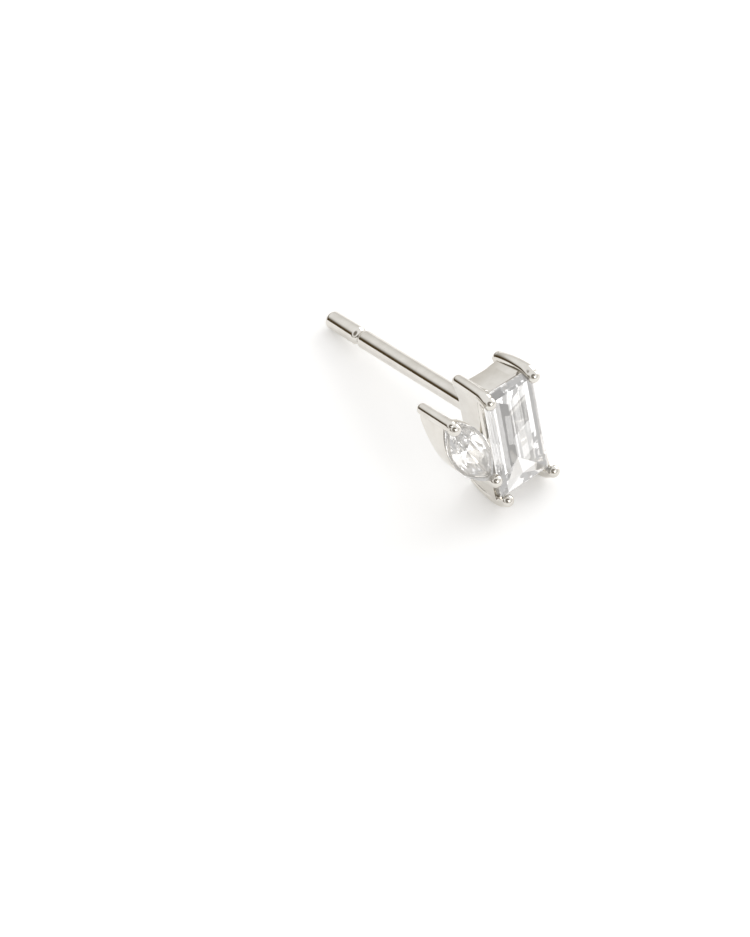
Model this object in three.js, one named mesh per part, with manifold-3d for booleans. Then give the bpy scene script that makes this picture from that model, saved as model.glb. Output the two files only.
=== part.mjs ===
// Stud earring: a straight post carries a four-prong basket with a baguette stone,
// and a smaller two-prong basket with a marquise stone is soldered to its left side.
// Millimetres, +Z up. The earring lies on a flat surface at z = 0, on the post's tip and on
// the two lower prongs, so the head is tipped up a little towards the front (-Y).
//
// Inside the head frame x runs across the baguette, z along it, and y is the depth behind
// the stones' fronts, so the post runs along +y from the middle of the baguette's basket.

import * as THREE from "three";
import { mergeVertices } from "three/addons/utils/BufferGeometryUtils.js";
import { ConvexGeometry } from "three/addons/geometries/ConvexGeometry.js";
import Module from "manifold-3d";

const wasm = await Module();
wasm.setup();

// Driving dimensions: post, with a turned groove for the ear nut
const POST_DIAMETER = 0.80;
const POST_END_Y = 12.43;
const POST_END_ROUNDING = 0.24;
const GROOVE_FROM_END = 2.12;
const GROOVE_WIDTH = 0.50;
const GROOVE_DEPTH = 0.10;

// Driving dimensions: baguette stone, step cut
const BAGUETTE_WIDTH = 2.50;
const BAGUETTE_LENGTH = 5.00;
const BAGUETTE_TABLE_Y = 0.06;
const BAGUETTE_CROWN = 0.24;
const BAGUETTE_CROWN_STEP = 0.22;
const BAGUETTE_GIRDLE = 0.09;
const BAGUETTE_PAVILION = 1.00;
const BAGUETTE_KEEL = 2.60;

// Facet lines of the baguette between table, girdle and keel, as shares of the stone's sizes
const CROWN_LINE_INSET = 0.40;
const CROWN_LINE_DEPTH = 0.42;
const UPPER_PAVILION_INSET = 0.22;
const UPPER_PAVILION_DEPTH = 0.36;
const LOWER_PAVILION_INSET = 0.56;
const LOWER_PAVILION_DEPTH = 0.72;

// Driving dimensions: marquise stone, brilliant cut, leaning beside the baguette
const MARQUISE_WIDTH = 1.76;
const MARQUISE_LENGTH = 4.20;
const MARQUISE_TABLE_Y = 0.08;
const MARQUISE_CROWN = 0.24;
const MARQUISE_GIRDLE = 0.06;
const MARQUISE_PAVILION = 0.78;
const MARQUISE_LEAN = THREE.MathUtils.degToRad(22.6);
const MARQUISE_RISE = 0.455;

// Facet corners of the marquise: how many, and where as shares of the stone's sizes
const CROWN_CORNERS = 8;
const GIRDLE_CORNERS = 16;
const TABLE_SHARE = 0.60;
const STAR_SHARE = 0.83;
const STAR_DEPTH = 0.50;
const LOWER_SHARE = 0.45;
const LOWER_DEPTH = 0.66;

// A lens offset by a distance grows this many times more along its length than across it
const TIP_GROWTH = 2;

// Driving dimensions: clearances from stone to metal and from stone to stone
const STONE_GAP = 0.03;
const STONE_TO_STONE = 0.05;

// Driving dimensions: prongs of the big basket, round wires that bow along their depth. A crest is
// how far a prong's outer edge stands from the middle where it stands out most; away from there
// the edge falls back by the sag times the distance squared. The front end hooks over the stone.
const PRONG_RADIUS = 0.28;
const PRONG_FRONT_Y = -0.30;
const PRONG_BACK_Y = 2.28;
const PRONG_PAST_STONE_SIDE = 0.23;
const PRONG_PROUD = 0.02;
const PRONG_CREST_Y = 0.80;
const PRONG_HOOK = 0.10;
const PRONG_HOOK_FROM_Y = 0.40;
const UPPER_LEFT_CREST = 2.78;
const UPPER_LEFT_SAG = 0.03;
const UPPER_RIGHT_CREST = 2.84;
const UPPER_RIGHT_SAG = 0.12;
const LOWER_CREST = 3.09;
const LOWER_SAG = 0.21;

// Driving dimension: the right wall leans in, so that its upper prong is nearer the middle by this
const RIGHT_LEAN = 0.15;

// Driving dimensions: prongs of the small basket, straight wires with a bead at the front
const SMALL_PRONG_RADIUS = 0.25;
const SMALL_PRONG_FRONT_Y = 0.12;
const SMALL_PRONG_BACK_Y = 2.12;
const SMALL_PRONG_INSIDE_TIP = 0.05;
const SMALL_BEAD_RADIUS = 0.28;
const SMALL_BEAD_INSIDE_TIP = 0.18;
const SMALL_BEAD_Y = -0.02;

// Driving dimensions: walls of the baskets, which narrow towards the back
const SIDE_WALL = 0.30;
const SIDE_WALL_FRONT_Y = 0.50;
const SIDE_WALL_BACK_Y = 1.90;
const SIDE_WALL_FILLET = 0.728;
const SIDE_WALL_HORN = 0.196;
const SIDE_WALL_CORNER_Y = 0.40;
const END_WALL = 0.28;
const END_WALL_PAST_STONE = 0.06;
const END_WALL_FRONT_Y = 0.48;
const END_WALL_BACK_Y = 1.84;
const END_WALL_ARCH = 0.10;
const UPPER_LEFT_SHOULDER = 0.22;
const UPPER_RIGHT_SHOULDER = 0.48;
const LOWER_SHOULDER = 0.30;
const SHOULDER_HEIGHT = 0.13;
const UPPER_RIGHT_SHOULDER_HEIGHT = 0.05;
const SHOULDER_ROOT = 0.10;
const SHOULDER_PAST_PRONG = 0.168;
const SHOULDER_SETBACK = 0.06;
const SMALL_WALL = 0.26;
const SMALL_WALL_INSIDE_STONE = 0.02;
const SMALL_WALL_FRONT_Y = 0.52;
const SMALL_WALL_BACK_Y = 1.28;
const SMALL_WALL_ARCH = 1.05;
const INNER_ARC_BACK_Y = 0.80;
const TAPER_ACROSS = 0.04;
const TAPER_ALONG = 0.02;

// Driving dimensions: bridge across the back of the big basket, which carries the post
const BRIDGE_HEIGHT = 1.10;
const BRIDGE_THICKNESS = 0.30;

// Roundness of the turned shapes
const POST_SIDES = 32;
const WIRE_SIDES = 20;
const WIRE_STEPS = 12;
const CAP_STEPS = 5;
const ARC_STEPS = 14;
const TURNED_STEPS = 6;
const SLOPE_STEPS = 12;

// Corners nearer than this are one corner, and cutters reach this far past what they cut
const WELD = 1e-5;
const CUT_MARGIN = 1;

// Derived places: the faces of the big basket and the centres of its prongs
const stoneHalfWidth = BAGUETTE_WIDTH / 2;
const stoneHalfLength = BAGUETTE_LENGTH / 2;
const sideFace = stoneHalfWidth + PRONG_PAST_STONE_SIDE;
const endFace = stoneHalfLength + END_WALL_PAST_STONE;
const prongX = sideFace + PRONG_PROUD - PRONG_RADIUS;
const prongFrontCentreY = PRONG_FRONT_Y + PRONG_RADIUS;
const prongBackCentreY = PRONG_BACK_Y - PRONG_RADIUS;
const bridgeBackY = END_WALL_BACK_Y;

// The four prongs: which side each is on, how far it leans in, its bow, and its shoulder
const prongs = {
  upperLeft: {
    sideX: -1,
    sideZ: 1,
    lean: 0,
    crest: UPPER_LEFT_CREST,
    sag: UPPER_LEFT_SAG,
    shoulderWidth: UPPER_LEFT_SHOULDER,
    shoulderHeight: SHOULDER_HEIGHT,
  },
  upperRight: {
    sideX: 1,
    sideZ: 1,
    lean: RIGHT_LEAN,
    crest: UPPER_RIGHT_CREST,
    sag: UPPER_RIGHT_SAG,
    shoulderWidth: UPPER_RIGHT_SHOULDER,
    shoulderHeight: UPPER_RIGHT_SHOULDER_HEIGHT,
  },
  lowerLeft: {
    sideX: -1,
    sideZ: -1,
    lean: 0,
    crest: LOWER_CREST,
    sag: LOWER_SAG,
    shoulderWidth: LOWER_SHOULDER,
    shoulderHeight: SHOULDER_HEIGHT,
  },
  lowerRight: {
    sideX: 1,
    sideZ: -1,
    lean: 0,
    crest: LOWER_CREST,
    sag: LOWER_SAG,
    shoulderWidth: LOWER_SHOULDER,
    shoulderHeight: SHOULDER_HEIGHT,
  },
};

// Derived places: the marquise, a lens of two equal arcs, beside the baguette
const lensHalfLength = MARQUISE_LENGTH / 2;
const lensHalfWidth = MARQUISE_WIDTH / 2;
const lensAxis = new THREE.Vector3(-Math.sin(MARQUISE_LEAN), 0, Math.cos(MARQUISE_LEAN));
const lensReach = lensRadius(lensHalfLength, lensHalfWidth)
  - (lensRadius(lensHalfLength, lensHalfWidth) - lensHalfWidth) * Math.cos(MARQUISE_LEAN);
const lensCentre = new THREE.Vector3(-(stoneHalfWidth + STONE_TO_STONE + lensReach), 0, MARQUISE_RISE);

function lensRadius(halfLength, halfWidth) {
  return (halfLength ** 2 + halfWidth ** 2) / (2 * halfWidth);
}

function widthShareAt(depth, taper) {
  return 1 - taper * depth;
}

// How far a prong's centre line is from the middle, along the stone, at a depth between its ends
function prongCentreZ(prong, depth) {
  const bow = prong.sag * (depth - PRONG_CREST_Y) ** 2;
  const bend = Math.max(0, PRONG_HOOK_FROM_Y - depth) / (PRONG_HOOK_FROM_Y - prongFrontCentreY);
  return prong.crest - PRONG_RADIUS - bow - PRONG_HOOK * bend ** 2;
}

// Solids and meshes
function toSolid(geometry) {
  geometry.deleteAttribute("normal");
  geometry.deleteAttribute("uv");
  const merged = mergeVertices(geometry, WELD);
  const mesh = new wasm.Mesh({
    numProp: 3,
    vertProperties: new Float32Array(merged.attributes.position.array),
    triVerts: new Uint32Array(merged.index.array),
  });
  return new wasm.Manifold(mesh);
}

function toGeometry(solid) {
  const mesh = solid.getMesh();
  const geometry = new THREE.BufferGeometry();
  geometry.setAttribute("position", new THREE.BufferAttribute(new Float32Array(mesh.vertProperties), 3));
  geometry.setIndex(new THREE.BufferAttribute(new Uint32Array(mesh.triVerts), 1));
  geometry.computeVertexNormals();
  return geometry;
}

function unite(solids) {
  return solids.reduce((sum, solid) => sum.add(solid));
}

function taper(geometry) {
  const position = geometry.attributes.position;
  for (let i = 0; i < position.count; i += 1) {
    const depth = position.getY(i);
    position.setX(i, position.getX(i) * widthShareAt(depth, TAPER_ACROSS));
    position.setZ(i, position.getZ(i) * widthShareAt(depth, TAPER_ALONG));
  }
  return geometry;
}

// A block between two corners
function block(min, max) {
  const size = new THREE.Vector3().subVectors(max, min);
  const geometry = new THREE.BoxGeometry(size.x, size.y, size.z);
  return geometry.translate(min.x + size.x / 2, min.y + size.y / 2, min.z + size.z / 2);
}

// A shape drawn in depth (its x) and height (its y), made thick along the head's x
function extrudeAcross(shape, fromX, thickness) {
  const geometry = new THREE.ExtrudeGeometry(shape, {
    depth: thickness,
    bevelEnabled: false,
    curveSegments: ARC_STEPS,
  });
  const basis = new THREE.Matrix4().makeBasis(
    new THREE.Vector3(0, 1, 0),
    new THREE.Vector3(0, 0, 1),
    new THREE.Vector3(1, 0, 0),
  );
  return geometry.applyMatrix4(basis).translate(fromX, 0, 0);
}

// A shape drawn in the plane of the stones (x and z), made thick along the depth
function extrudeBack(shape, fromY, toY) {
  const geometry = new THREE.ExtrudeGeometry(shape, {
    depth: toY - fromY,
    bevelEnabled: false,
    curveSegments: ARC_STEPS,
  });
  const basis = new THREE.Matrix4().makeBasis(
    new THREE.Vector3(1, 0, 0),
    new THREE.Vector3(0, 0, 1),
    new THREE.Vector3(0, -1, 0),
  );
  return geometry.applyMatrix4(basis).translate(0, toY, 0);
}

// A round wire with ball ends whose centres are the two given points
function wire(from, to, radius) {
  const run = new THREE.Vector3().subVectors(to, from);
  const geometry = new THREE.CapsuleGeometry(radius, run.length(), CAP_STEPS, WIRE_SIDES, 1);
  const turn = new THREE.Quaternion().setFromUnitVectors(
    new THREE.Vector3(0, 1, 0),
    run.clone().normalize(),
  );
  geometry.applyQuaternion(turn);
  const middle = new THREE.Vector3().addVectors(from, to).multiplyScalar(0.5);
  return toSolid(geometry.translate(middle.x, middle.y, middle.z));
}

// Baguette: rectangles that shrink towards the table and, in two steps, towards the keel
function baguettePoints(grow) {
  const crownBase = BAGUETTE_TABLE_Y + BAGUETTE_CROWN;
  const girdleBase = crownBase + BAGUETTE_GIRDLE;
  const crownLine = BAGUETTE_TABLE_Y + BAGUETTE_CROWN * CROWN_LINE_DEPTH;
  const upperLine = girdleBase + BAGUETTE_PAVILION * UPPER_PAVILION_DEPTH;
  const lowerLine = girdleBase + BAGUETTE_PAVILION * LOWER_PAVILION_DEPTH;
  const rectangles = [
    { inset: BAGUETTE_CROWN_STEP, y: BAGUETTE_TABLE_Y - grow },
    { inset: BAGUETTE_CROWN_STEP * CROWN_LINE_INSET, y: crownLine - grow },
    { inset: 0, y: crownBase - grow },
    { inset: 0, y: girdleBase + grow },
    { inset: stoneHalfWidth * UPPER_PAVILION_INSET, y: upperLine + grow },
    { inset: stoneHalfWidth * LOWER_PAVILION_INSET, y: lowerLine + grow },
  ];
  const points = [];
  for (const { inset, y } of rectangles) {
    for (const [sideX, sideZ] of [[1, 1], [1, -1], [-1, 1], [-1, -1]]) {
      const x = stoneHalfWidth - inset + grow;
      const z = stoneHalfLength - inset + grow;
      points.push(new THREE.Vector3(sideX * x, y, sideZ * z));
    }
  }
  for (const side of [1, -1]) {
    const keelY = girdleBase + BAGUETTE_PAVILION + grow;
    points.push(new THREE.Vector3(0, keelY, side * (BAGUETTE_KEEL / 2 + grow)));
  }
  return points;
}

// A point on the lens outline, at a share from -1 to 1 of its half length, on one of its sides
function lensPoint(share, side, halfLength, halfWidth) {
  const radius = lensRadius(halfLength, halfWidth);
  const along = share * halfLength;
  const across = side * (Math.sqrt(radius ** 2 - along ** 2) - (radius - halfWidth));
  return new THREE.Vector2(across, along);
}

// From lens coordinates (across, along) and a depth to the head frame
function fromLens(across, along, y) {
  const acrossAxis = new THREE.Vector3(Math.cos(MARQUISE_LEAN), 0, Math.sin(MARQUISE_LEAN));
  return lensCentre.clone()
    .addScaledVector(acrossAxis, across)
    .addScaledVector(lensAxis, along)
    .setY(y);
}

// One ring of a marquise's facet corners, spread evenly round the lens and shrunk to a scale
function lensRing(scale, y, corners, offset, grow) {
  const points = [];
  for (let i = 0; i < corners; i += 1) {
    const angle = (2 * Math.PI * (i + offset)) / corners;
    const side = Math.sin(angle) >= 0 ? 1 : -1;
    const halfLength = lensHalfLength + grow * TIP_GROWTH;
    const outline = lensPoint(Math.cos(angle), side, halfLength, lensHalfWidth + grow);
    points.push(fromLens(outline.x * scale, outline.y * scale, y));
  }
  return points;
}

// Marquise: rings of corners at the table, the stars, the girdle and the pavilion, and a culet
function marquisePoints(grow) {
  const crownBase = MARQUISE_TABLE_Y + MARQUISE_CROWN;
  const girdleBase = crownBase + MARQUISE_GIRDLE;
  const starLine = MARQUISE_TABLE_Y + MARQUISE_CROWN * STAR_DEPTH;
  const lowerLine = girdleBase + MARQUISE_PAVILION * LOWER_DEPTH;
  return [
    ...lensRing(TABLE_SHARE, MARQUISE_TABLE_Y - grow, CROWN_CORNERS, 0, grow),
    ...lensRing(STAR_SHARE, starLine - grow, CROWN_CORNERS, 0.5, grow),
    ...lensRing(1, crownBase - grow, GIRDLE_CORNERS, 0, grow),
    ...lensRing(1, girdleBase + grow, GIRDLE_CORNERS, 0, grow),
    ...lensRing(LOWER_SHARE, lowerLine + grow, CROWN_CORNERS, 0.5, grow),
    fromLens(0, 0, girdleBase + MARQUISE_PAVILION + grow),
  ];
}

function stoneSolid(points) {
  return toSolid(new ConvexGeometry(points));
}

// Prong of the big basket: a round wire, bowed, that leans in towards the back like the walls
function bigProng(prong) {
  const run = prongBackCentreY - prongFrontCentreY;
  const geometry = new THREE.CapsuleGeometry(PRONG_RADIUS, run, CAP_STEPS, WIRE_SIDES, WIRE_STEPS);
  geometry.translate(0, prongFrontCentreY + run / 2, 0);
  const position = geometry.attributes.position;
  for (let i = 0; i < position.count; i += 1) {
    const depth = THREE.MathUtils.clamp(position.getY(i), prongFrontCentreY, prongBackCentreY);
    const centreX = prong.sideX * (prongX - prong.lean) * widthShareAt(depth, TAPER_ACROSS);
    position.setX(i, position.getX(i) + centreX);
    position.setZ(i, position.getZ(i) + prong.sideZ * prongCentreZ(prong, depth));
  }
  return toSolid(geometry);
}

function ball(centre, radius) {
  const geometry = new THREE.SphereGeometry(radius, WIRE_SIDES, CAP_STEPS * 2);
  geometry.rotateX(Math.PI / 2);
  return toSolid(geometry.translate(centre.x, centre.y, centre.z));
}

// Side wall: a plate with arched front and back edges between an upper and a lower prong
function sideWallShape(upper, lower) {
  const backCorner = prongBackCentreY + SIDE_WALL_HORN;
  const ends = [upper, lower].map((prong) => {
    const back = prongCentreZ(prong, prongBackCentreY);
    const front = prongCentreZ(prong, SIDE_WALL_CORNER_Y);
    return {
      archStart: prong.sideZ * (prongCentreZ(prong, PRONG_CREST_Y) - SIDE_WALL_FILLET),
      backTurn: prong.sideZ * (back - PRONG_RADIUS),
      back: prong.sideZ * back,
      frontTurn: prong.sideZ * (front - PRONG_RADIUS),
      front: prong.sideZ * front,
    };
  });
  const [top, bottom] = ends;
  const shape = new THREE.Shape();
  shape.moveTo(SIDE_WALL_BACK_Y, bottom.archStart);
  shape.lineTo(SIDE_WALL_BACK_Y, top.archStart);
  shape.quadraticCurveTo(SIDE_WALL_BACK_Y, top.backTurn, backCorner, top.back);
  shape.lineTo(SIDE_WALL_CORNER_Y, top.front);
  shape.quadraticCurveTo(SIDE_WALL_FRONT_Y, top.frontTurn, SIDE_WALL_FRONT_Y, top.archStart);
  shape.lineTo(SIDE_WALL_FRONT_Y, bottom.archStart);
  shape.quadraticCurveTo(SIDE_WALL_FRONT_Y, bottom.frontTurn, SIDE_WALL_CORNER_Y, bottom.front);
  shape.lineTo(backCorner, bottom.back);
  shape.quadraticCurveTo(SIDE_WALL_BACK_Y, bottom.backTurn, SIDE_WALL_BACK_Y, bottom.archStart);
  return shape;
}

// The wall leans with its upper prong, and its lower end stays in place
function sideWall(upper, lower) {
  const fromX = upper.sideX > 0 ? sideFace - SIDE_WALL : -sideFace;
  const geometry = extrudeAcross(sideWallShape(upper, lower), fromX, SIDE_WALL);
  const topZ = prongCentreZ(upper, PRONG_CREST_Y);
  const bottomZ = -prongCentreZ(lower, PRONG_CREST_Y);
  const position = geometry.attributes.position;
  for (let i = 0; i < position.count; i += 1) {
    const share = (position.getZ(i) - bottomZ) / (topZ - bottomZ);
    position.setX(i, position.getX(i) - upper.sideX * upper.lean * share);
  }
  return toSolid(taper(geometry));
}

// End wall: a plate with an arched back edge between a left and a right prong
function endWall(side) {
  const shape = new THREE.Shape();
  shape.moveTo(-prongX, END_WALL_FRONT_Y);
  shape.lineTo(prongX, END_WALL_FRONT_Y);
  shape.lineTo(prongX, END_WALL_BACK_Y + END_WALL_ARCH);
  shape.quadraticCurveTo(0, END_WALL_BACK_Y - END_WALL_ARCH, -prongX, END_WALL_BACK_Y + END_WALL_ARCH);
  const geometry = new THREE.ExtrudeGeometry(shape, {
    depth: END_WALL,
    bevelEnabled: false,
    curveSegments: ARC_STEPS,
  });
  geometry.translate(0, 0, side > 0 ? endFace - END_WALL : -endFace);
  return toSolid(taper(geometry));
}

// Shoulder: a sloped strip along the inner foot of a prong, on top of the end wall. Its slope
// goes on as far below the wall's face as it stands above it.
function shoulder(prong) {
  const axis = prongX - prong.lean;
  const top = axis - SHOULDER_PAST_PRONG;
  const corners = [
    [top - prong.shoulderWidth * 2, endFace - prong.shoulderHeight],
    [top, endFace + prong.shoulderHeight],
    [axis, endFace + prong.shoulderHeight],
    [axis, endFace - SHOULDER_ROOT],
  ];
  const placed = corners.map(([x, z]) => new THREE.Vector2(prong.sideX * x, prong.sideZ * z));
  const frontY = END_WALL_FRONT_Y + SHOULDER_SETBACK;
  const geometry = extrudeBack(new THREE.Shape(placed), frontY, END_WALL_BACK_Y);
  return toSolid(taper(geometry));
}

function bridge() {
  const halfWidth = sideFace - SIDE_WALL / 2;
  const geometry = block(
    new THREE.Vector3(-halfWidth, bridgeBackY - BRIDGE_THICKNESS, -BRIDGE_HEIGHT / 2),
    new THREE.Vector3(halfWidth, bridgeBackY, BRIDGE_HEIGHT / 2),
  );
  return toSolid(taper(geometry));
}

// Post: a turned wire from inside the bridge to its rounded end, with the nut's groove
function postProfile() {
  const radius = POST_DIAMETER / 2;
  const neck = radius - GROOVE_DEPTH;
  const grooveMiddle = POST_END_Y - GROOVE_FROM_END;
  const profile = new THREE.Path();
  profile.moveTo(0, bridgeBackY - BRIDGE_THICKNESS / 2);
  profile.lineTo(radius, bridgeBackY - BRIDGE_THICKNESS / 2);
  profile.lineTo(radius, grooveMiddle - GROOVE_WIDTH / 2);
  profile.bezierCurveTo(
    radius, grooveMiddle - GROOVE_WIDTH / 4,
    neck, grooveMiddle - GROOVE_WIDTH / 4,
    neck, grooveMiddle,
  );
  profile.bezierCurveTo(
    neck, grooveMiddle + GROOVE_WIDTH / 4,
    radius, grooveMiddle + GROOVE_WIDTH / 4,
    radius, grooveMiddle + GROOVE_WIDTH / 2,
  );
  profile.lineTo(radius, POST_END_Y - POST_END_ROUNDING);
  profile.absarc(
    radius - POST_END_ROUNDING, POST_END_Y - POST_END_ROUNDING,
    POST_END_ROUNDING, 0, Math.PI / 2, false,
  );
  profile.lineTo(0, POST_END_Y);
  return profile.getPoints(TURNED_STEPS);
}

function post() {
  return toSolid(new THREE.LatheGeometry(postProfile(), POST_SIDES));
}

// Outline of the small basket, a lens drawn in the plane of the stones
function lensShape(halfLength, halfWidth) {
  const points = [];
  for (let i = 0; i <= ARC_STEPS; i += 1) {
    points.push(lensPoint((2 * i) / ARC_STEPS - 1, 1, halfLength, halfWidth));
  }
  for (let i = 1; i < ARC_STEPS; i += 1) {
    points.push(lensPoint(1 - (2 * i) / ARC_STEPS, -1, halfLength, halfWidth));
  }
  const placed = points.map((point) => fromLens(point.x, point.y, 0));
  return new THREE.Shape(placed.map((point) => new THREE.Vector2(point.x, point.z)));
}

// Moves a cutter drawn with its x across and its z along the lens to its place in the head
function placeOnLens(geometry) {
  geometry.rotateY(-MARQUISE_LEAN);
  return geometry.translate(lensCentre.x, 0, lensCentre.z);
}

// Small basket wall: a lens-shaped tube whose back edge is arched on the outer side
// and low on the inner side, behind the stone
function smallWall() {
  const outerLength = lensHalfLength - SMALL_WALL_INSIDE_STONE;
  const outerWidth = lensHalfWidth - SMALL_WALL_INSIDE_STONE;
  const outer = lensShape(outerLength, outerWidth);
  const inner = lensShape(outerLength - SMALL_WALL * TIP_GROWTH, outerWidth - SMALL_WALL);
  const tubeBackY = SMALL_PRONG_BACK_Y - SMALL_PRONG_RADIUS / 2;
  const tube = toSolid(extrudeBack(outer, SMALL_WALL_FRONT_Y, tubeBackY))
    .subtract(toSolid(extrudeBack(inner, 0, tubeBackY + CUT_MARGIN)));

  const arch = new THREE.Shape();
  const archTop = SMALL_WALL_BACK_Y + SMALL_WALL_ARCH;
  arch.moveTo(archTop, -lensHalfLength);
  arch.quadraticCurveTo(SMALL_WALL_BACK_Y - SMALL_WALL_ARCH, 0, archTop, lensHalfLength);
  arch.lineTo(archTop + CUT_MARGIN, lensHalfLength);
  arch.lineTo(archTop + CUT_MARGIN, -lensHalfLength);
  const archCut = placeOnLens(extrudeAcross(arch, -MARQUISE_WIDTH, MARQUISE_WIDTH * 2));
  const innerCut = placeOnLens(block(
    new THREE.Vector3(0, INNER_ARC_BACK_Y, -lensHalfLength),
    new THREE.Vector3(MARQUISE_WIDTH, archTop + CUT_MARGIN, lensHalfLength),
  ));
  return tube.subtract(toSolid(archCut)).subtract(toSolid(innerCut));
}

// Prongs of the small basket, one at each tip of the marquise
function smallProng(end) {
  const wireAlong = end * (lensHalfLength - SMALL_PRONG_INSIDE_TIP);
  const beadAlong = end * (lensHalfLength - SMALL_BEAD_INSIDE_TIP);
  return unite([
    wire(
      fromLens(0, wireAlong, SMALL_PRONG_FRONT_Y),
      fromLens(0, wireAlong, SMALL_PRONG_BACK_Y - SMALL_PRONG_RADIUS),
      SMALL_PRONG_RADIUS,
    ),
    ball(fromLens(0, beadAlong, SMALL_BEAD_Y), SMALL_BEAD_RADIUS),
  ]);
}

// The setting: all the metal, soldered into one body, with seats cut for both stones
function settingSolid() {
  const metal = unite([
    ...Object.values(prongs).map(bigProng),
    sideWall(prongs.upperLeft, prongs.lowerLeft),
    sideWall(prongs.upperRight, prongs.lowerRight),
    endWall(1), endWall(-1),
    ...Object.values(prongs).map(shoulder),
    bridge(), post(),
    smallWall(), smallProng(1), smallProng(-1),
  ]);
  return metal
    .subtract(stoneSolid(baguettePoints(STONE_GAP)))
    .subtract(stoneSolid(marquisePoints(STONE_GAP)));
}

// Rest pose: the floor touches the rounding of the post's end and the bowed lower prongs. Its
// slope in the head's frame is worked out in steps, as the place it touches depends on it.
const endRound = {
  y: POST_END_Y - POST_END_ROUNDING,
  z: -(POST_DIAMETER / 2 - POST_END_ROUNDING),
  radius: POST_END_ROUNDING,
};
let restSlope = 0;
for (let i = 0; i < SLOPE_STEPS; i += 1) {
  const rise = endRound.z + LOWER_CREST + restSlope ** 2 / (4 * LOWER_SAG);
  restSlope = (rise - endRound.radius * Math.hypot(1, restSlope)) / (endRound.y - PRONG_CREST_Y);
}
const restPitch = Math.atan(restSlope);

// Origin: on the floor, under the middle of the whole earring
const floorDrop = endRound.y * Math.sin(restPitch) - endRound.z * Math.cos(restPitch) + endRound.radius;
const foremostZ = -prongCentreZ(prongs.lowerLeft, prongFrontCentreY);
const foremostY = prongFrontCentreY * Math.cos(restPitch) + foremostZ * Math.sin(restPitch) - PRONG_RADIUS;
const rearmostY = endRound.y * Math.cos(restPitch) - endRound.z * Math.sin(restPitch) + endRound.radius;
const leftX = lensCentre.x - lensReach;
const rightX = prongX * widthShareAt(prongFrontCentreY, TAPER_ACROSS) + PRONG_RADIUS;

const metalMaterial = new THREE.MeshStandardMaterial({ color: 0xd8d2c6, roughness: 0.12, metalness: 1 });
const stoneMaterial = new THREE.MeshStandardMaterial({ color: 0xf2f4f6, roughness: 0.02, metalness: 0 });

function namedMesh(name, solid, material) {
  const mesh = new THREE.Mesh(toGeometry(solid), material);
  mesh.name = name;
  return mesh;
}

const head = new THREE.Group();
head.add(namedMesh("setting", settingSolid(), metalMaterial));
head.add(namedMesh("baguette_stone", stoneSolid(baguettePoints(0)), stoneMaterial));
head.add(namedMesh("marquise_stone", stoneSolid(marquisePoints(0)), stoneMaterial));
head.rotation.x = -restPitch;
head.position.set(-(leftX + rightX) / 2, -(foremostY + rearmostY) / 2, floorDrop);

const group = new THREE.Group();
group.add(head);
export default group;
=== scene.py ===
# Stud earring lying on a white surface. The metal and the baguette are made finer than their
# nodes in the frame and replace them; the marquise is the frame's node with a stone material.

import math

import bmesh
import bpy
from mathutils import Matrix, Vector


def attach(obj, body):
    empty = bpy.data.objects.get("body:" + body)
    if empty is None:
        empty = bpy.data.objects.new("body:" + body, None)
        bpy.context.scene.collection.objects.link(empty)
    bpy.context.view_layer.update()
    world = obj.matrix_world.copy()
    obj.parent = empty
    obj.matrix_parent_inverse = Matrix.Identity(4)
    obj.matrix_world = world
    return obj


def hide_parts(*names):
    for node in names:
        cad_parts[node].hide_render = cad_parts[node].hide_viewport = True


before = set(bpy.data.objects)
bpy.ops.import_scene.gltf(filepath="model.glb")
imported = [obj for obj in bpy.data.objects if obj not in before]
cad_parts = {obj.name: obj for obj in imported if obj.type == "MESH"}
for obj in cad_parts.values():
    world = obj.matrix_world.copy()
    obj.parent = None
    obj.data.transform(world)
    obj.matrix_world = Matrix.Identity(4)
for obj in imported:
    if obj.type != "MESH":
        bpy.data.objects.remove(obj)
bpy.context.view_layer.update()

# Sizes in millimetres, in the head's frame: x across the baguette, y back along the post, z up
MM = 0.001

POST_RADIUS = 0.40
POST_END_Y = 12.43
POST_END_ROUNDING = 0.24
GROOVE_FROM_END = 2.12
GROOVE_WIDTH = 0.50
GROOVE_DEPTH = 0.10

STONE_HALF_WIDTH = 1.25
STONE_HALF_LENGTH = 2.50
KEEL_Y = 1.39
KEEL_HALF_LENGTH = 1.35
LENS_HALF_WIDTH = 0.88
LENS_HALF_LENGTH = 2.10
LENS_LEAN = math.radians(22.6)
LENS_RISE = 0.455
STONE_TO_STONE = 0.05
SEAT_GAP = 0.02

PRONG_RADIUS = 0.28
PRONG_FRONT_Y = -0.02
PRONG_BACK_Y = 2.00
PRONG_X = 1.22
PRONG_CREST_Y = 0.80
PRONG_HOOK = 0.10
PRONG_HOOK_FROM_Y = 0.40

SMALL_PRONG_RADIUS = 0.25
SMALL_PRONG_FRONT_Y = 0.12
SMALL_PRONG_BACK_Y = 1.87
SMALL_PRONG_INSIDE_TIP = 0.05
SMALL_BEAD_Y = -0.02
SMALL_BEAD_RADIUS = 0.28
SMALL_BEAD_INSIDE_TIP = 0.18

SIDE_FACE = 1.48
SIDE_WALL = 0.30
SIDE_FRONT_Y = 0.50
SIDE_BACK_Y = 1.90
SIDE_FILLET = 0.728
SIDE_HORN = 0.196
SIDE_CORNER_Y = 0.40

END_FACE = 2.56
END_WALL = 0.28
END_FRONT_Y = 0.48
END_BACK_Y = 1.84
END_ARCH = 0.10

SHOULDER_ROOT = 0.10
SHOULDER_PAST_PRONG = 0.168
SHOULDER_SETBACK = 0.06

BRIDGE_HEIGHT = 1.10
BRIDGE_THICKNESS = 0.30

SMALL_WALL = 0.26
SMALL_WALL_INSIDE = 0.02
SMALL_FRONT_Y = 0.52
SMALL_BACK_Y = 1.28
SMALL_ARCH = 1.05
INNER_BACK_Y = 0.80

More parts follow.
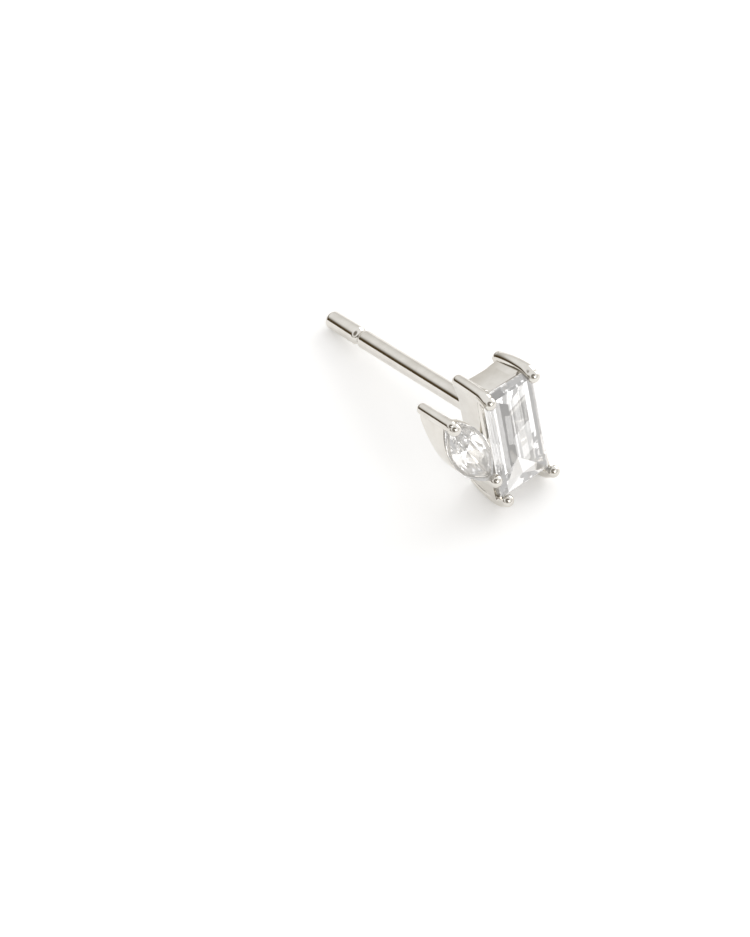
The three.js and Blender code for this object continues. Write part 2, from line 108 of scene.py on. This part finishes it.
# Share by which a width narrows for each millimetre of depth
TAPER_ACROSS = 0.04
TAPER_ALONG = 0.02

EDGE_ROUNDING = 0.035
END_EDGE_ROUNDING = 0.11

# Prongs of the large basket: side, lean, bow and the shoulder at the foot
PRONGS = {
    "upper_left": {
        "x": -1, "z": 1, "lean": 0, "crest": 2.78, "sag": 0.03, "width": 0.22, "height": 0.13,
    },
    "upper_right": {
        "x": 1, "z": 1, "lean": 0.15, "crest": 2.84, "sag": 0.12, "width": 0.48, "height": 0.05,
    },
    "lower_left": {
        "x": -1, "z": -1, "lean": 0, "crest": 3.09, "sag": 0.21, "width": 0.30, "height": 0.13,
    },
    "lower_right": {
        "x": 1, "z": -1, "lean": 0, "crest": 3.09, "sag": 0.21, "width": 0.30, "height": 0.13,
    },
}

# Levels of the baguette, front to back: how far in from its sides, the depth, and how far the
# middle of each end stands out
BAGUETTE_LEVELS = (
    (0.22, 0.06, 0.0),
    (0.13, 0.14, 0.02),
    (0.05, 0.23, 0.0),
    (0.0, 0.30, 0.0),
    (0.0, 0.39, 0.0),
    (0.50, 0.85, 0.06),
)

# Where the head lies: tipped up at the front so that post end and lower prongs touch the floor
REST_PITCH = math.radians(13.586165)
HEAD_PLACE = Vector((0.938135, -5.611806, 3.259044))
HEAD = (
    Matrix.Scale(MM, 4)
    @ Matrix.Translation(HEAD_PLACE)
    @ Matrix.Rotation(-REST_PITCH, 4, "X")
)

# How finely the curves are divided
POST_SIDES = 96
WIRE_SIDES = 56
CAP_STEPS = 12
BEAD_STEPS = 14
GROOVE_STEPS = 24
CURVE_STEPS = 16
PRONG_STEPS = 28
LENS_STATIONS = 40
ROUNDING_STEPS = 3

MERGE_DISTANCE = 1e-5
ROUNDED_ABOVE = math.radians(35)
SMOOTH_BELOW = math.radians(32)

# Facets of the baguette that get painted light or painted shade, told apart by the parts of their
# normal and the depth of their middle
FACET_TURN = 0.3
KEEL_FACETS_FROM_Y = 0.85

# Materials: noise scales are per metre
METAL_MOTTLE_SCALE = 1300.0
METAL_MOTTLE_DETAIL = 3.0
METAL_MOTTLE_RANGE = (0.35, 0.65)
METAL_DARK = (0.70, 0.672, 0.625, 1)
METAL_LIGHT = (0.76, 0.738, 0.695, 1)
METAL_ROUGHNESS = (0.03, 0.08)

STONE_MOTTLE_SCALE = 400.0
STONE_DARK = (0.875, 0.87, 0.865, 1)
STONE_LIGHT = (0.90, 0.90, 0.90, 1)
# Painted light: the stones glow weakly though they are no lamps
STONE_PAINTED_GLOW_COLOUR = (1.0, 0.985, 0.97, 1)
# Painted shade: dim grey tones that make the facets left of the keel a dim mirror
PAINTED_SHADE_DARK = (0.42, 0.415, 0.41, 1)
PAINTED_SHADE_LIGHT = (0.48, 0.475, 0.47, 1)
BAGUETTE_IOR = 2.10
MARQUISE_IOR = 1.88
BAGUETTE_PAINTED_GLOW = 0.062
# Painted light: the end facets glow more than the rest of the stone
END_FACET_PAINTED_GLOW = 0.10
MARQUISE_PAINTED_GLOW = 0.08

FLOOR_HALF_SIZE = 3
FLOOR_MOTTLE_SCALE = 3.0
FLOOR_DARK = (0.93, 0.93, 0.93, 1)
FLOOR_LIGHT = (0.95, 0.95, 0.95, 1)
FLOOR_ROUGHNESS = 0.9
FLOOR_GLOW = 0.22
WHITE = (1, 1, 1, 1)

# Surroundings: directions are unit vectors, and distances are between their tips
SKY_LOW = (0.74, 0.715, 0.68, 1)
SKY_MIDDLE = (0.86, 0.85, 0.83, 1)
SKY_MIDDLE_Z = 0.30
SKY_HIGH_Z = 0.60
DARK_BROWN = (0.085, 0.060, 0.028, 1)
SCREEN_DIRECTION = (-0.659, 0.745, 0.08)
SCREEN_FLATNESS = (1.0, 1.0, 2.6)
SCREEN_EDGE = (0.38, 1.15)
LAMP_DIRECTION = (-0.416, -0.514, 0.750)
RING_STOPS = ((0.10, 0), (0.16, 0.85), (0.52, 0.85), (0.75, 0))

CAMERA_LENS = 172.9
CAMERA_SENSOR = 36.0
CAMERA_CLIP = (0.001, 20.0)
CAMERA_PLACE = Vector((-79.0705, -95.0671, 137.5433))
CAMERA_RIGHT = Vector((0.76868, -0.63955, -0.01153))
CAMERA_UP = Vector((0.48586, 0.57204, 0.66084))


def share_at(y, taper):
    return 1 - taper * y


def tapered(point):
    x, y, z = point
    return (x * share_at(y, TAPER_ACROSS), y, z * share_at(y, TAPER_ALONG))


# The marquise's outline is a lens of two equal arcs
def lens_radius(half_length, half_width):
    return (half_length ** 2 + half_width ** 2) / (2 * half_width)


LENS_ARC = lens_radius(LENS_HALF_LENGTH, LENS_HALF_WIDTH)
LENS_REACH = LENS_ARC - (LENS_ARC - LENS_HALF_WIDTH) * math.cos(LENS_LEAN)
LENS_X = -(STONE_HALF_WIDTH + STONE_TO_STONE + LENS_REACH)


def from_lens(across, along, y):
    x = LENS_X + across * math.cos(LENS_LEAN) - along * math.sin(LENS_LEAN)
    z = LENS_RISE + across * math.sin(LENS_LEAN) + along * math.cos(LENS_LEAN)
    return (x, y, z)


def lens_across(along, half_length, half_width):
    radius = lens_radius(half_length, half_width)
    return math.sqrt(max(radius ** 2 - along ** 2, 0)) - (radius - half_width)


def curve_point(a, b, c, t):
    return tuple((1 - t) ** 2 * p + 2 * t * (1 - t) * q + t ** 2 * r for p, q, r in zip(a, b, c))


def curve(a, b, c):
    return [curve_point(a, b, c, i / CURVE_STEPS) for i in range(CURVE_STEPS + 1)]


def linked_object(name, data):
    obj = bpy.data.objects.new(name, data)
    bpy.context.scene.collection.objects.link(obj)
    return obj


def mesh_object(name, vertices, faces):
    mesh = bpy.data.meshes.new(name)
    mesh.from_pydata([tuple(v) for v in vertices], [], faces)
    shape = bmesh.new()
    shape.from_mesh(mesh)
    bmesh.ops.remove_doubles(shape, verts=shape.verts, dist=MERGE_DISTANCE)
    bmesh.ops.recalc_face_normals(shape, faces=shape.faces)
    shape.to_mesh(mesh)
    shape.free()
    return linked_object(name, mesh)


# Rings of points joined into a closed skin; a ring of one point closes an end
def skin(rings):
    vertices = []
    faces = []
    starts = []
    for ring in rings:
        starts.append(len(vertices))
        vertices.extend(ring)
    for k in range(len(rings) - 1):
        a, b = starts[k], starts[k + 1]
        na, nb = len(rings[k]), len(rings[k + 1])
        n = max(na, nb)
        for i in range(n):
            j = (i + 1) % n
            if na == 1:
                faces.append((a, b + i, b + j))
            elif nb == 1:
                faces.append((a + i, b, a + j))
            else:
                faces.append((a + i, b + i, b + j, a + j))
    return vertices, faces


# A surface turned about a line from start to end, from pairs of distance along it and radius
def turned(start, end, profile, sides):
    start, end = Vector(start), Vector(end)
    along = (end - start).normalized()
    side = along.cross(Vector((0, 0, 1))).normalized()
    up = side.cross(along)
    rings = []
    for distance, radius in profile:
        centre = start + along * distance
        if radius == 0:
            rings.append([tuple(centre)])
            continue
        ring = []
        for i in range(sides):
            angle = 2 * math.pi * i / sides
            ring.append(tuple(centre + (side * math.cos(angle) + up * math.sin(angle)) * radius))
        rings.append(ring)
    return skin(rings)


def capsule_profile(length, radius, steps):
    profile = []
    for i in range(steps + 1):
        angle = math.pi / 2 * i / steps
        profile.append((-radius * math.cos(angle), radius * math.sin(angle)))
    for i in range(steps + 1):
        angle = math.pi / 2 * (1 - i / steps)
        profile.append((length + radius * math.cos(angle), radius * math.sin(angle)))
    profile[0] = (-radius, 0)
    profile[-1] = (length + radius, 0)
    return profile


def joined(parts):
    vertices = []
    faces = []
    for part_vertices, part_faces in parts:
        start = len(vertices)
        vertices.extend(part_vertices)
        faces.extend(tuple(start + i for i in face) for face in part_faces)
    return vertices, faces


# A closed outline, given once at a near and once at a far place, made into a plate
def plate(near, far):
    n = len(near)
    vertices = list(near) + list(far)
    faces = [tuple(range(n)), tuple(range(2 * n - 1, n - 1, -1))]
    for i in range(n):
        j = (i + 1) % n
        faces.append((i, j, n + j, n + i))
    return vertices, faces


# The convex solid round some points of the head's frame
def convex_object(name, points):
    shape = bmesh.new()
    for point in points:
        shape.verts.new(point)
    bmesh.ops.convex_hull(shape, input=shape.verts)
    loose = [v for v in shape.verts if not v.link_faces]
    bmesh.ops.delete(shape, geom=loose, context="VERTS")
    mesh = bpy.data.meshes.new(name)
    shape.to_mesh(mesh)
    shape.free()
    obj = linked_object(name, mesh)
    obj.matrix_world = HEAD
    return obj


def grown_points(node, grow):
    inverse = HEAD.inverted()
    points = [inverse @ v.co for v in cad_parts[node].data.vertices]
    low = Vector(tuple(min(p[k] for p in points) for k in range(3)))
    high = Vector(tuple(max(p[k] for p in points) for k in range(3)))
    scale = [1 + 2 * grow / (high[k] - low[k]) for k in range(3)]
    middle = (low + high) / 2
    return [tuple(middle[k] + (p[k] - middle[k]) * scale[k] for k in range(3)) for p in points]


# A material whose colour varies softly between two tones
def mottled_material(name, scale, dark, light):
    material = bpy.data.materials.new(name)
    material.use_nodes = True
    nodes = material.node_tree.nodes
    links = material.node_tree.links
    shader = nodes["Principled BSDF"]
    place = nodes.new("ShaderNodeTexCoord")
    noise = nodes.new("ShaderNodeTexNoise")
    noise.inputs["Scale"].default_value = scale
    links.new(place.outputs["Object"], noise.inputs["Vector"])
    tint = nodes.new("ShaderNodeValToRGB")
    tint.color_ramp.elements[0].color = dark
    tint.color_ramp.elements[1].color = light
    links.new(noise.outputs["Fac"], tint.inputs["Fac"])
    links.new(tint.outputs["Color"], shader.inputs["Base Color"])
    return material, shader, noise, tint


def metal_material():
    material, shader, noise, tint = mottled_material(
        "polished_metal", METAL_MOTTLE_SCALE, METAL_DARK, METAL_LIGHT
    )
    shader.inputs["Metallic"].default_value = 1.0
    noise.inputs["Detail"].default_value = METAL_MOTTLE_DETAIL
    for element, position in zip(tint.color_ramp.elements, METAL_MOTTLE_RANGE):
        element.position = position
    polish = material.node_tree.nodes.new("ShaderNodeMapRange")
    polish.inputs["To Min"].default_value, polish.inputs["To Max"].default_value = METAL_ROUGHNESS
    material.node_tree.links.new(noise.outputs["Fac"], polish.inputs["Value"])
    material.node_tree.links.new(polish.outputs["Result"], shader.inputs["Roughness"])
    return material


# A clear stone; its weak glow is painted light, which keeps the facets from being darker than in
# the photo
def stone_material(name, ior, glow, dark=STONE_DARK, light=STONE_LIGHT, metallic=0.0):
    material, shader, _, _ = mottled_material(name, STONE_MOTTLE_SCALE, dark, light)
    shader.inputs["Transmission Weight"].default_value = 1.0
    shader.inputs["Emission Color"].default_value = STONE_PAINTED_GLOW_COLOUR
    shader.inputs["Emission Strength"].default_value = glow
    shader.inputs["IOR"].default_value = ior
    shader.inputs["Metallic"].default_value = metallic
    shader.inputs["Roughness"].default_value = 0.0
    return material


metal = metal_material()
# Stone materials with a weak painted glow
stone = stone_material("clear_stone", BAGUETTE_IOR, BAGUETTE_PAINTED_GLOW)
# Painted light and shade: a copy that glows more for the end facets, and a dim grey metallic copy
# for the facets left of the keel
stone_ends_painted_glow = stone_material("clear_stone_end_facets_painted_glow", BAGUETTE_IOR, END_FACET_PAINTED_GLOW)
stone_painted_shade = stone_material(
    "clear_stone_side_facet_painted_shade",
    BAGUETTE_IOR,
    BAGUETTE_PAINTED_GLOW,
    PAINTED_SHADE_DARK,
    PAINTED_SHADE_LIGHT,
    metallic=1.0,
)
small_stone = stone_material("clear_small_stone", MARQUISE_IOR, MARQUISE_PAINTED_GLOW)

# Cutters that leave a small gap round the stones
cutters = [
    convex_object("cutter_baguette", grown_points("baguette_stone", SEAT_GAP)),
    convex_object("cutter_marquise", grown_points("marquise_stone", SEAT_GAP)),
]


# A finished metal piece: edges rounded, stone seats cut, smooth except at real edges
def metal_piece(name, shape, rounding=0.0, cut=True):
    obj = mesh_object(name, *shape)
    obj.matrix_world = HEAD
    if rounding:
        bevel = obj.modifiers.new("edges", "BEVEL")
        bevel.width = rounding
        bevel.segments = ROUNDING_STEPS
        bevel.limit_method = "ANGLE"
        bevel.angle_limit = ROUNDED_ABOVE
    if cut:
        for cutter in cutters:
            difference = obj.modifiers.new("seat", "BOOLEAN")
            difference.operation = "DIFFERENCE"
            difference.solver = "EXACT"
            difference.object = cutter
    bpy.context.view_layer.update()
    evaluated = obj.evaluated_get(bpy.context.evaluated_depsgraph_get())
    finished = bpy.data.meshes.new_from_object(evaluated)
    obj.modifiers.clear()
    obj.data = finished
    finished.transform(HEAD)
    obj.matrix_world = Matrix.Identity(4)
    for polygon in finished.polygons:
        polygon.use_smooth = True
    finished.set_sharp_from_angle(angle=SMOOTH_BELOW)
    finished.materials.clear()
    finished.materials.append(metal)
    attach(obj, "root")
    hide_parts("setting")


# Post: turned wire from the bridge to its rounded end, with the groove near the end
def post_shape():
    start_y = END_BACK_Y - BRIDGE_THICKNESS / 2
    middle = POST_END_Y - GROOVE_FROM_END
    profile = [(start_y, 0), (start_y, POST_RADIUS)]
    for i in range(GROOVE_STEPS + 1):
        y = middle - GROOVE_WIDTH / 2 + GROOVE_WIDTH * i / GROOVE_STEPS
        dip = 0.5 + 0.5 * math.cos(2 * math.pi * (y - middle) / GROOVE_WIDTH)
        profile.append((y, POST_RADIUS - GROOVE_DEPTH * dip))
    for i in range(CURVE_STEPS + 1):
        angle = math.pi / 2 * i / CURVE_STEPS
        y = POST_END_Y - POST_END_ROUNDING + POST_END_ROUNDING * math.sin(angle)
        profile.append((y, POST_RADIUS - POST_END_ROUNDING + POST_END_ROUNDING * math.cos(angle)))
    profile.append((POST_END_Y, 0))
    return turned((0, 0, 0), (0, 1, 0), profile, POST_SIDES)


# How far a prong's centre line is from the middle, along the stone, at a depth between its ends
def prong_centre_z(prong, y):
    bow = prong["sag"] * (y - PRONG_CREST_Y) ** 2
    bend = max(0, PRONG_HOOK_FROM_Y - y) / (PRONG_HOOK_FROM_Y - PRONG_FRONT_Y)
    return prong["crest"] - PRONG_RADIUS - bow - PRONG_HOOK * bend ** 2


# Large prong: a straight wire with round ends, divided along its length and then bent
def big_prong(prong):
    profile = capsule_profile(PRONG_BACK_Y - PRONG_FRONT_Y, PRONG_RADIUS, CAP_STEPS)
    front, back = profile[:CAP_STEPS + 1], profile[CAP_STEPS + 1:]
    low, high = front[-1][0], back[0][0]
    run = [
        (low + (high - low) * i / PRONG_STEPS, PRONG_RADIUS) for i in range(1, PRONG_STEPS)
    ]
    vertices, faces = turned(
        (0, PRONG_FRONT_Y, 0), (0, PRONG_BACK_Y, 0), front + run + back, WIRE_SIDES
    )
    bent = []
    for x, y, z in vertices:
        depth = min(max(y, PRONG_FRONT_Y), PRONG_BACK_Y)
        centre_x = prong["x"] * (PRONG_X - prong["lean"]) * share_at(depth, TAPER_ACROSS)
        bent.append((x + centre_x, y, z + prong["z"] * prong_centre_z(prong, depth)))
    return bent, faces


def small_prong(end):
    along = end * (LENS_HALF_LENGTH - SMALL_PRONG_INSIDE_TIP)
    front = from_lens(0, along, SMALL_PRONG_FRONT_Y)
    back = from_lens(0, along, SMALL_PRONG_BACK_Y)
    length = (Vector(back) - Vector(front)).length
    profile = capsule_profile(length, SMALL_PRONG_RADIUS, CAP_STEPS)
    return turned(front, back, profile, WIRE_SIDES)


def small_bead(end):
    along = end * (LENS_HALF_LENGTH - SMALL_BEAD_INSIDE_TIP)
    x, y, z = from_lens(0, along, SMALL_BEAD_Y)
    profile = capsule_profile(0, SMALL_BEAD_RADIUS, BEAD_STEPS)
    return turned((x, y, z), (x, y + 1, z), profile, WIRE_SIDES)


# Side wall: fillets run from its arched edges out along the prongs, and it leans with the upper
def side_wall(upper, lower):
    halves = []
    for prong in (upper, lower):
        start = prong_centre_z(prong, PRONG_CREST_Y) - SIDE_FILLET
        back_z = prong_centre_z(prong, PRONG_BACK_Y)
        front_z = prong_centre_z(prong, SIDE_CORNER_Y)
        back = curve(
            (SIDE_BACK_Y, start),
            (SIDE_BACK_Y, back_z - PRONG_RADIUS),
            (PRONG_BACK_Y + SIDE_HORN, back_z),
        )
        front = curve(
            (SIDE_CORNER_Y, front_z),
            (SIDE_FRONT_Y, front_z - PRONG_RADIUS),
            (SIDE_FRONT_Y, start),
        )
        halves.append(back + front)
    outline = halves[0] + [(y, -z) for y, z in reversed(halves[1])]
    side = upper["x"]
    top = prong_centre_z(upper, PRONG_CREST_Y)
    bottom = -prong_centre_z(lower, PRONG_CREST_Y)

    def leaning(x, y, z):
        return tapered((side * (x - upper["lean"] * (z - bottom) / (top - bottom)), y, z))

    near = [leaning(SIDE_FACE - SIDE_WALL, y, z) for y, z in outline]
    far = [leaning(SIDE_FACE, y, z) for y, z in outline]
    return plate(near, far)


def end_wall(side):
    corner_y = END_BACK_Y + END_ARCH
    back = curve((PRONG_X, corner_y), (0, END_BACK_Y - END_ARCH), (-PRONG_X, corner_y))
    outline = [(-PRONG_X, END_FRONT_Y), (PRONG_X, END_FRONT_Y)] + back
    near = [tapered((x, y, side * (END_FACE - END_WALL))) for x, y in outline]
    far = [tapered((x, y, side * END_FACE)) for x, y in outline]
    return plate(near, far)


def shoulder(prong):
    axis = PRONG_X - prong["lean"]
    top = axis - SHOULDER_PAST_PRONG
    outline = [
        (top - prong["width"] * 2, END_FACE - prong["height"]),
        (top, END_FACE + prong["height"]),
        (axis, END_FACE + prong["height"]),
        (axis, END_FACE - SHOULDER_ROOT),
    ]
    front = END_FRONT_Y + SHOULDER_SETBACK
    near = [tapered((prong["x"] * x, front, prong["z"] * z)) for x, z in outline]
    far = [tapered((prong["x"] * x, END_BACK_Y, prong["z"] * z)) for x, z in outline]
    return plate(near, far)


def bridge():
    half = SIDE_FACE - SIDE_WALL / 2
    high = BRIDGE_HEIGHT / 2
    outline = [(-half, -high), (half, -high), (half, high), (-half, high)]
    near = [tapered((x, END_BACK_Y - BRIDGE_THICKNESS, z)) for x, z in outline]
    far = [tapered((x, END_BACK_Y, z)) for x, z in outline]
    return plate(near, far)


# Small basket: a lens-shaped band whose back edge is arched, low behind the baguette's side
def small_wall():
    outer = (LENS_HALF_LENGTH - SMALL_WALL_INSIDE, LENS_HALF_WIDTH - SMALL_WALL_INSIDE)
    inner = (outer[0] - SMALL_WALL * 2, outer[1] - SMALL_WALL)
    top = SMALL_BACK_Y + SMALL_ARCH
    low = SMALL_BACK_Y - SMALL_ARCH
    limit = SMALL_PRONG_BACK_Y + SMALL_PRONG_RADIUS / 2

    def back_y(along, side):
        if side > 0:
            return INNER_BACK_Y
        t = (along / LENS_HALF_LENGTH + 1) / 2
        return min(curve_point((top,), (low,), (top,), t)[0], limit)

    parts = []
    for side in (-1, 1):
        rings = []
        for i in range(LENS_STATIONS + 1):
            share = 2 * i / LENS_STATIONS - 1
            a, b = share * outer[0], share * inner[0]
            outer_x = side * lens_across(a, *outer)
            inner_x = side * lens_across(b, *inner)
            rings.append([
                from_lens(outer_x, a, SMALL_FRONT_Y),
                from_lens(inner_x, b, SMALL_FRONT_Y),
                from_lens(inner_x, b, back_y(b, side)),
                from_lens(outer_x, a, back_y(a, side)),
            ])
        vertices, faces = skin(rings)
        last = len(vertices)
        faces.append((0, 1, 2, 3))
        faces.append((last - 1, last - 2, last - 3, last - 4))
        parts.append((vertices, faces))
    return joined(parts)


metal_piece("post", post_shape(), cut=False)
for prong_name, prong in PRONGS.items():
    metal_piece("prong_" + prong_name, big_prong(prong))
    metal_piece("shoulder_" + prong_name, shoulder(prong), EDGE_ROUNDING)
for end_name, end in (("upper", 1), ("lower", -1)):
    metal_piece("small_prong_" + end_name, small_prong(end))
    metal_piece("small_bead_" + end_name, small_bead(end))
for side_name in ("left", "right"):
    wall = side_wall(PRONGS["upper_" + side_name], PRONGS["lower_" + side_name])
    metal_piece("side_wall_" + side_name, wall, EDGE_ROUNDING)
metal_piece("end_wall_upper", end_wall(1), END_EDGE_ROUNDING)
metal_piece("end_wall_lower", end_wall(-1), END_EDGE_ROUNDING)
metal_piece("bridge", bridge(), EDGE_ROUNDING)
metal_piece("small_wall", small_wall(), EDGE_ROUNDING)

for cutter in cutters:
    bpy.data.objects.remove(cutter)


# Baguette: a step cut with more steps in front than its node, and end facets split in the middle
def baguette_points():
    points = []
    for inset, y, bulge in BAGUETTE_LEVELS:
        x, z = STONE_HALF_WIDTH - inset, STONE_HALF_LENGTH - inset
        points += [(x, y, z), (-x, y, z), (x, y, -z), (-x, y, -z)]
        if bulge:
            points += [(0, y, z + bulge), (0, y, -z - bulge)]
    return points + [(0, KEEL_Y, KEEL_HALF_LENGTH), (0, KEEL_Y, -KEEL_HALF_LENGTH)]


# The end facets get more painted light, and the facets left of the keel get painted shade as a
# dim grey mirror
def stone_piece(name, node, points):
    obj = convex_object(name, points)
    facet_materials = (stone, stone_ends_painted_glow, stone_painted_shade)
    for material in facet_materials:
        obj.data.materials.append(material)
    for polygon in obj.data.polygons:
        across, depth, along = polygon.normal
        if depth > FACET_TURN and abs(along) > FACET_TURN:
            polygon.material_index = facet_materials.index(stone_ends_painted_glow)
        elif polygon.center.y > KEEL_FACETS_FROM_Y and across < -FACET_TURN:
            polygon.material_index = facet_materials.index(stone_painted_shade)
    obj.data.transform(HEAD)
    obj.matrix_world = Matrix.Identity(4)
    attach(obj, "root")
    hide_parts(node)


stone_piece("baguette_cut", "baguette_stone", baguette_points())
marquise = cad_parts["marquise_stone"]
marquise.data.materials.clear()
marquise.data.materials.append(small_stone)

# Floor: a large white plane with a faint glow
floor_mesh = bpy.data.meshes.new("floor")
floor_corners = [
    (x * FLOOR_HALF_SIZE, y * FLOOR_HALF_SIZE, 0) for x, y in ((-1, -1), (1, -1), (1, 1), (-1, 1))
]
floor_mesh.from_pydata(floor_corners, [], [(0, 1, 2, 3)])
floor = linked_object("floor", floor_mesh)
floor_material, floor_shader, _, _ = mottled_material(
    "white_floor", FLOOR_MOTTLE_SCALE, FLOOR_DARK, FLOOR_LIGHT
)
floor_shader.inputs["Roughness"].default_value = FLOOR_ROUGHNESS
floor_shader.inputs["Emission Color"].default_value = WHITE
floor_shader.inputs["Emission Strength"].default_value = FLOOR_GLOW
floor_mesh.materials.append(floor_material)

# Surroundings: a bright even sky, warmer and darker towards the horizon
world = bpy.data.worlds.new("studio")
world.use_nodes = True
bpy.context.scene.world = world
sky_nodes = world.node_tree.nodes
sky_links = world.node_tree.links
background = sky_nodes["Background"]
direction = sky_nodes.new("ShaderNodeTexCoord").outputs["Generated"]
split = sky_nodes.new("ShaderNodeSeparateXYZ")
sky_links.new(direction, split.inputs["Vector"])
sky = sky_nodes.new("ShaderNodeValToRGB")
sky.color_ramp.elements[0].position = 0.0
sky.color_ramp.elements[0].color = SKY_LOW
sky.color_ramp.elements[1].position = SKY_HIGH_Z
sky.color_ramp.elements[1].color = WHITE
sky.color_ramp.elements.new(SKY_MIDDLE_Z).color = SKY_MIDDLE
sky_links.new(split.outputs["Z"], sky.inputs["Fac"])


def vector_step(operation, vector, constant):
    node = sky_nodes.new("ShaderNodeVectorMath")
    node.operation = operation
    if constant:
        node.inputs[1].default_value = constant
    sky_links.new(vector, node.inputs[0])
    return node


# A dark screen low at the back left, which draws the thin brown lines along the metal
from_screen = vector_step("SUBTRACT", direction, SCREEN_DIRECTION)
flattened = vector_step("MULTIPLY", from_screen.outputs["Vector"], SCREEN_FLATNESS)
distance = vector_step("LENGTH", flattened.outputs["Vector"], None)
edge = sky_nodes.new("ShaderNodeMapRange")
edge.interpolation_type = "SMOOTHSTEP"
edge.inputs["From Min"].default_value, edge.inputs["From Max"].default_value = SCREEN_EDGE
sky_links.new(distance.outputs["Value"], edge.inputs["Value"])
screened = sky_nodes.new("ShaderNodeMix")
screened.data_type = "RGBA"
screened.inputs["A"].default_value = DARK_BROWN
sky_links.new(edge.outputs["Result"], screened.inputs["Factor"])
sky_links.new(sky.outputs["Color"], screened.inputs["B"])

# A dark ring round a small lamp, high at the front left, which the prongs' tips mirror
from_lamp = vector_step("DISTANCE", direction, LAMP_DIRECTION)
ring = sky_nodes.new("ShaderNodeValToRGB")
ring_elements = ring.color_ramp.elements
ring_elements[0].position = RING_STOPS[0][0]
ring_elements[1].position = RING_STOPS[-1][0]
for position, _ in RING_STOPS[1:-1]:
    ring_elements.new(position)
for element, (_, level) in zip(ring_elements, RING_STOPS):
    element.color = (level, level, level, 1)
sky_links.new(from_lamp.outputs["Value"], ring.inputs["Fac"])
ringed = sky_nodes.new("ShaderNodeMix")
ringed.data_type = "RGBA"
ringed.inputs["B"].default_value = DARK_BROWN
sky_links.new(ring.outputs["Color"], ringed.inputs["Factor"])
sky_links.new(screened.outputs["Result"], ringed.inputs["A"])
sky_links.new(ringed.outputs["Result"], background.inputs["Color"])
background.inputs["Strength"].default_value = 1.0


# A square soft light that faces the earring, with its place and size in metres
def area_light(name, place, size, power):
    data = bpy.data.lights.new(name, "AREA")
    data.shape = "SQUARE"
    data.size = size
    data.energy = power
    light = linked_object(name, data)
    light.location = place
    light.rotation_mode = "QUATERNION"
    light.rotation_quaternion = (-Vector(place)).to_track_quat("-Z", "Y")


area_light("softbox_right", place=(0.30, 0.02, 0.12), size=0.24, power=0.40)
area_light("softbox_front", place=(-0.02, -0.32, 0.22), size=0.20, power=0.28)

# Camera: from the front left and above, rolled a little
bpy.context.scene.view_settings.view_transform = "Standard"
camera_data = bpy.data.cameras.new("camera")
camera_data.type = "PERSP"
camera_data.sensor_width = CAMERA_SENSOR
camera_data.lens = CAMERA_LENS
camera_data.clip_start, camera_data.clip_end = CAMERA_CLIP
camera = linked_object("camera", camera_data)
back = CAMERA_RIGHT.cross(CAMERA_UP)
up = back.cross(CAMERA_RIGHT)
turn = Matrix((CAMERA_RIGHT.normalized(), up.normalized(), back.normalized())).transposed()
camera.matrix_world = Matrix.Translation(CAMERA_PLACE * MM) @ turn.to_4x4()
bpy.context.scene.camera = camera

bpy.context.view_layer.update()
